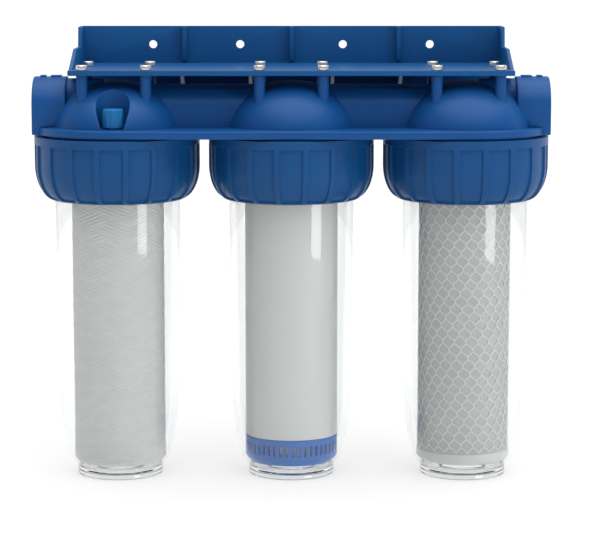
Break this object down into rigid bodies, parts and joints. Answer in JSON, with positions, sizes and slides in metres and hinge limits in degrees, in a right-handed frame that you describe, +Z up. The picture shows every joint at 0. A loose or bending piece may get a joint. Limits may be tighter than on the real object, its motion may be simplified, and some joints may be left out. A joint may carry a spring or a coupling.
{
  "type": "cartridge filter housing",
  "caption": "Wall-mounted in-line water filter: blue head and bracket, screwed lock rings, clear bowls, and sediment, granular carbon and carbon block cartridges.",
  "frame": {"origin": "on the floor plane under the middle of the housing's box, where the bowl feet stand", "axes": "+X from the inlet port to the outlet port, +Y towards the wall, +Z up"},
  "size_m": [0.3798, 0.1402, 0.3321],
  "materials": {
    "head_blue": "moulded polypropylene, satin",
    "ring_blue": "moulded polypropylene, satin",
    "bracket_blue": "moulded polypropylene, satin",
    "knob_blue": "moulded nylon, satin",
    "screw_steel": "zinc plated",
    "clear_bowl": "clear moulded SAN, polished",
    "seal_black": "nitrile rubber",
    "yarn_white": "wound polypropylene yarn",
    "core_white": "moulded polypropylene",
    "shell_white": "moulded polypropylene, satin",
    "cap_blue": "moulded polypropylene, satin",
    "cap_white": "moulded plastisol",
    "pad_white": "needle felt",
    "carbon_black": "activated carbon, very matt",
    "felt_grey": "spunbond felt",
    "net_white": "extruded polyethylene net",
    "gasket_white": "closed-cell foam"
  },
  "bodies": {
    "head": {"head_manifold": "head_blue", "wall_bracket": "bracket_blue", "bracket_screw_1": "screw_steel", "bracket_screw_2": "screw_steel", "bracket_screw_3": "screw_steel", "bracket_screw_4": "screw_steel", "bracket_screw_5": "screw_steel", "bracket_screw_6": "screw_steel", "bracket_screw_7": "screw_steel", "bracket_screw_8": "screw_steel", "bracket_screw_9": "screw_steel", "bracket_screw_10": "screw_steel", "bracket_screw_11": "screw_steel", "bracket_screw_12": "screw_steel"},
    "cartridge_1": {"wound_yarn": "yarn_white", "wound_core": "core_white"},
    "bowl_1": {"bowl_1": "clear_bowl", "bowl_o_ring_1": "seal_black"},
    "ring_1": {"lock_ring_1": "ring_blue"},
    "cartridge_2": {"carbon_tube_shell": "shell_white", "carbon_tube_bottom_cap": "cap_blue", "carbon_tube_top_cap": "cap_blue", "carbon_tube_gasket": "seal_black", "carbon_tube_slot_felt": "pad_white", "carbon_tube_lower_pad": "pad_white", "carbon_tube_upper_pad": "pad_white", "carbon_granules": "carbon_black"},
    "bowl_2": {"bowl_2": "clear_bowl", "bowl_o_ring_2": "seal_black"},
    "ring_2": {"lock_ring_2": "ring_blue"},
    "cartridge_3": {"carbon_block": "carbon_black", "carbon_block_felt": "felt_grey", "carbon_block_net": "net_white", "carbon_block_bottom_cap": "cap_white", "carbon_block_top_cap": "cap_white", "carbon_block_bottom_gasket": "gasket_white", "carbon_block_top_gasket": "gasket_white"},
    "bowl_3": {"bowl_3": "clear_bowl", "bowl_o_ring_3": "seal_black"},
    "ring_3": {"lock_ring_3": "ring_blue"},
    "vent_seal": {"vent_o_ring": "seal_black"},
    "vent_screw": {"vent_knob": "knob_blue"}
  },
  "joints": [
    {"name": "stage_1_travel", "type": "slide", "parent": "head", "child": "cartridge_1", "axis": [0, 0, 1], "range_m": [-0.0181, 0]},
    {"name": "bowl_1_pull_down", "type": "slide", "parent": "cartridge_1", "child": "bowl_1", "axis": [0, 0, 1], "range_m": [-0.245, 0]},
    {"name": "ring_1_turn", "type": "hinge", "parent": "bowl_1", "child": "ring_1", "pos_m": [-0.129, -0.009, 0.23], "axis": [0, 0, 1], "range_deg": [-1080, 0]},
    {"name": "stage_2_travel", "type": "slide", "parent": "head", "child": "cartridge_2", "axis": [0, 0, 1], "range_m": [-0.0181, 0]},
    {"name": "bowl_2_pull_down", "type": "slide", "parent": "cartridge_2", "child": "bowl_2", "axis": [0, 0, 1], "range_m": [-0.245, 0]},
    {"name": "ring_2_turn", "type": "hinge", "parent": "bowl_2", "child": "ring_2", "pos_m": [0, -0.009, 0.23], "axis": [0, 0, 1], "range_deg": [-1080, 0]},
    {"name": "stage_3_travel", "type": "slide", "parent": "head", "child": "cartridge_3", "axis": [0, 0, 1], "range_m": [-0.0181, 0]},
    {"name": "bowl_3_pull_down", "type": "slide", "parent": "cartridge_3", "child": "bowl_3", "axis": [0, 0, 1], "range_m": [-0.245, 0]},
    {"name": "ring_3_turn", "type": "hinge", "parent": "bowl_3", "child": "ring_3", "pos_m": [0.129, -0.009, 0.23], "axis": [0, 0, 1], "range_deg": [-1080, 0]},
    {"name": "vent_lift", "type": "slide", "parent": "head", "child": "vent_seal", "axis": [0, 0, 1], "range_m": [0, 0.0031]},
    {"name": "vent_turn", "type": "hinge", "parent": "vent_seal", "child": "vent_screw", "pos_m": [-0.129, -0.048, 0.265], "axis": [0, 0, 1], "range_deg": [0, 720]}
  ],
  "couplings": [
    {"joint": "stage_1_travel", "follows": "ring_1_turn", "m_per_rad": 0.00095493},
    {"joint": "stage_2_travel", "follows": "ring_2_turn", "m_per_rad": 0.00095493},
    {"joint": "stage_3_travel", "follows": "ring_3_turn", "m_per_rad": 0.00095493},
    {"joint": "vent_lift", "follows": "vent_turn", "m_per_rad": 0.00023873}
  ]
}
